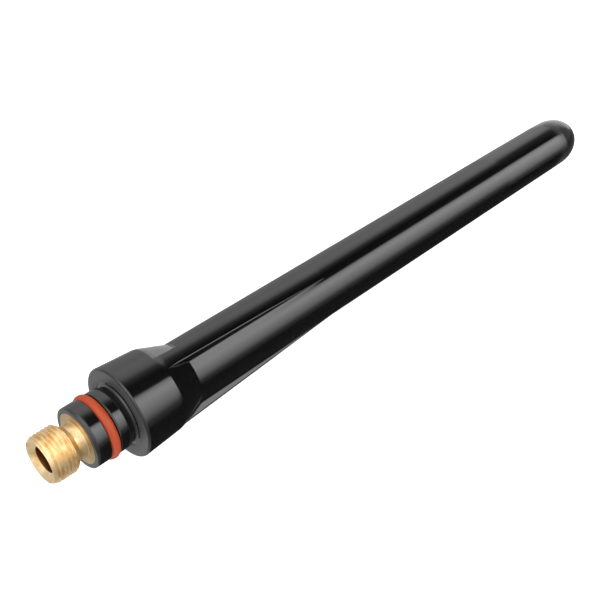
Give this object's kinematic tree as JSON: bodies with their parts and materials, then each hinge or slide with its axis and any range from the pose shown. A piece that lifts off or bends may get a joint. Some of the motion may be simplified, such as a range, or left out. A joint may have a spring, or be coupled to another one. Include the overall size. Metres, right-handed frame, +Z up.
{
  "type": "welding torch back cap",
  "caption": "Long black back cap for a welding torch: a finned, domed tube with a tapered collar, a rubber seal ring and a brass threaded stem, hollow to take the electrode.",
  "frame": {"origin": "centre of the collar's front face, the seat that meets the torch, on the cap's axis", "axes": "+X along the cap's axis from the seat to the domed end, with the threaded stem pointing to -X; +Z up as the cap lies on a table, with one fin 25 degrees from +Z towards -Y"},
  "size_m": [0.1511, 0.0182, 0.0182],
  "materials": {
    "cap_body": "glossy black moulded phenolic",
    "threaded_insert": "bright turned brass",
    "o_ring": "matte orange-red silicone rubber"
  },
  "bodies": {
    "root": {"cap_body": "cap_body", "threaded_insert": "threaded_insert", "o_ring": "o_ring"}
  },
  "joints": []
}
